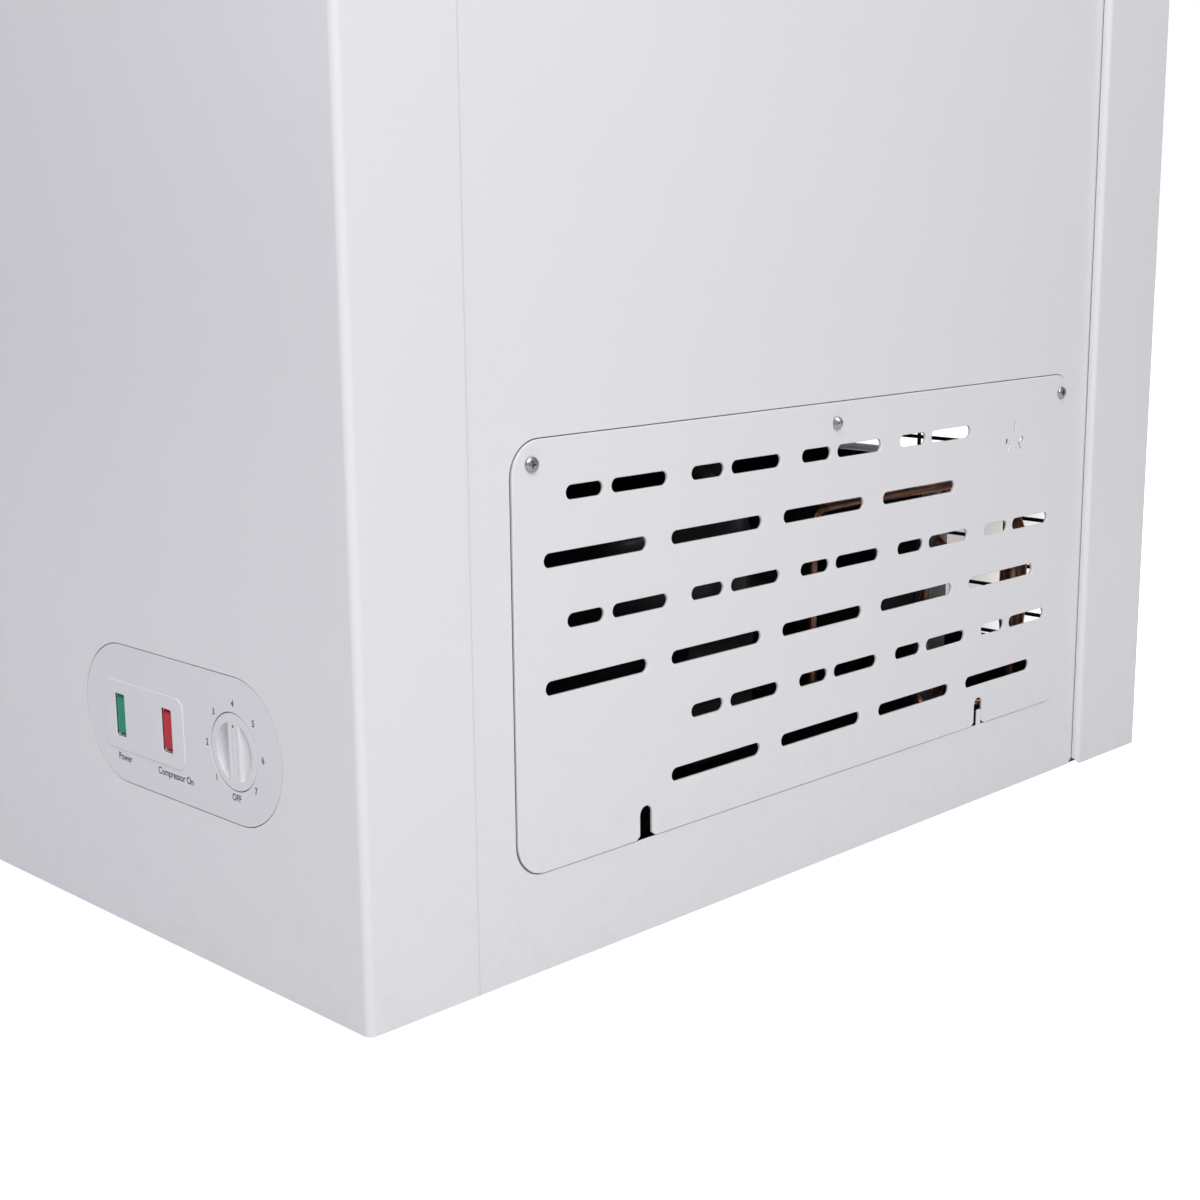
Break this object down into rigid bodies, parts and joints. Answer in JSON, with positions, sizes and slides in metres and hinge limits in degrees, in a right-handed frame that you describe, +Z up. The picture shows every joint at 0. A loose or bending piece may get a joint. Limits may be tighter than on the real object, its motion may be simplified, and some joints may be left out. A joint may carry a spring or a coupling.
{
  "type": "chest freezer",
  "caption": "Chest freezer with a hinged lid, stepped tub, hanging basket, front thermostat dial and a slotted side vent over its compressor compartment.",
  "frame": {"origin": "on the floor under the middle of the freezer, level with the bottoms of the feet", "axes": "+X to the right seen from the front, +Y to the back, +Z up; the front face looks to -Y"},
  "size_m": [1.128, 0.731, 0.85],
  "materials": {
    "white_enamel": "gloss",
    "white_plastic": "satin",
    "panel_plastic": "satin",
    "foam": "raw foam",
    "tub_aluminium": "stucco embossed",
    "galvanised_steel": "spangled zinc",
    "zinc_plate": "bright zinc plate",
    "black_enamel": "gloss",
    "black_plastic": "matt",
    "copper": "drawn tube, slightly tarnished",
    "black_rubber": "matt",
    "grey_rubber": "matt",
    "fin_aluminium": "mill finish",
    "green_lens": "tinted, gloss",
    "red_lens": "tinted, gloss",
    "basket_wire": "vinyl coated"
  },
  "bodies": {
    "cabinet": {"front_sheet": "white_enamel", "rear_sheet": "white_enamel", "left_side_sheet": "white_enamel", "right_side_sheet": "white_enamel", "base_pan": "black_enamel", "foam_core": "foam", "compartment_lining": "black_enamel", "inner_tub": "tub_aluminium", "drain_tube": "white_plastic", "top_rim": "white_plastic", "vent_grille": "white_enamel", "vent_frame": "galvanised_steel", "grille_screw_1": "zinc_plate", "grille_screw_2": "zinc_plate", "grille_screw_3": "zinc_plate", "rear_corner_post": "black_enamel", "rear_guard": "black_enamel", "cord_gland": "black_plastic", "compressor_shell": "black_enamel", "compressor_feet": "black_enamel", "compressor_grommet_1": "black_rubber", "compressor_grommet_2": "black_rubber", "compressor_grommet_3": "black_rubber", "compressor_grommet_4": "black_rubber", "relay_cover": "black_plastic", "condenser_block": "fin_aluminium", "fan_shroud": "black_enamel", "fan_motor": "black_plastic", "suction_pipe": "copper", "discharge_pipe": "copper", "filter_drier": "copper", "liquid_pipe": "copper", "capillary_tube": "copper", "evaporator_coil": "copper", "terminal_box": "black_plastic", "control_panel": "panel_plastic", "power_lens": "green_lens", "compressor_lens": "red_lens", "thermostat_body": "galvanised_steel", "control_box": "white_plastic", "sensing_tube": "copper", "lock_keeper": "zinc_plate", "hinge_base_left": "zinc_plate", "hinge_base_right": "zinc_plate", "foot_1": "black_plastic", "foot_2": "black_plastic", "foot_3": "black_plastic", "foot_4": "black_plastic"},
    "lid": {"lid_shell": "white_enamel", "lid_foam": "foam", "lid_liner": "white_plastic", "lid_gasket": "grey_rubber", "lid_handle": "white_plastic", "hinge_leaf_left": "zinc_plate", "hinge_leaf_right": "zinc_plate"},
    "lock": {"lock_barrel": "zinc_plate"},
    "thermostat_dial": {"thermostat_knob": "panel_plastic"},
    "fan": {"fan_blades": "black_plastic"},
    "basket": {"basket": "basket_wire"},
    "drain_plug": {"drain_plug": "grey_rubber"}
  },
  "joints": [
    {"name": "lid_hinge", "type": "hinge", "parent": "cabinet", "child": "lid", "pos_m": [0, 0.3585, 0.798], "axis": [-1, 0, 0], "range_deg": [0, 82]},
    {"name": "lock_turn", "type": "hinge", "parent": "lid", "child": "lock", "pos_m": [0.068, -0.36, 0.78], "axis": [0, -1, 0], "range_deg": [0, 90]},
    {"name": "thermostat_turn", "type": "hinge", "parent": "cabinet", "child": "thermostat_dial", "pos_m": [0.4587, -0.346, 0.1392], "axis": [0, 1, 0], "range_deg": [-180, 135]},
    {"name": "fan_spin", "type": "hinge", "parent": "cabinet", "child": "fan", "pos_m": [0.389, 0.165, 0.132], "axis": [0, 1, 0], "continuous": true},
    {"name": "basket_slide", "type": "slide", "parent": "cabinet", "child": "basket", "axis": [-1, 0, 0], "range_m": [0, 0.712]},
    {"name": "drain_plug_pull", "type": "slide", "parent": "cabinet", "child": "drain_plug", "axis": [0, 0, 1], "range_m": [0, 0.03]}
  ]
}
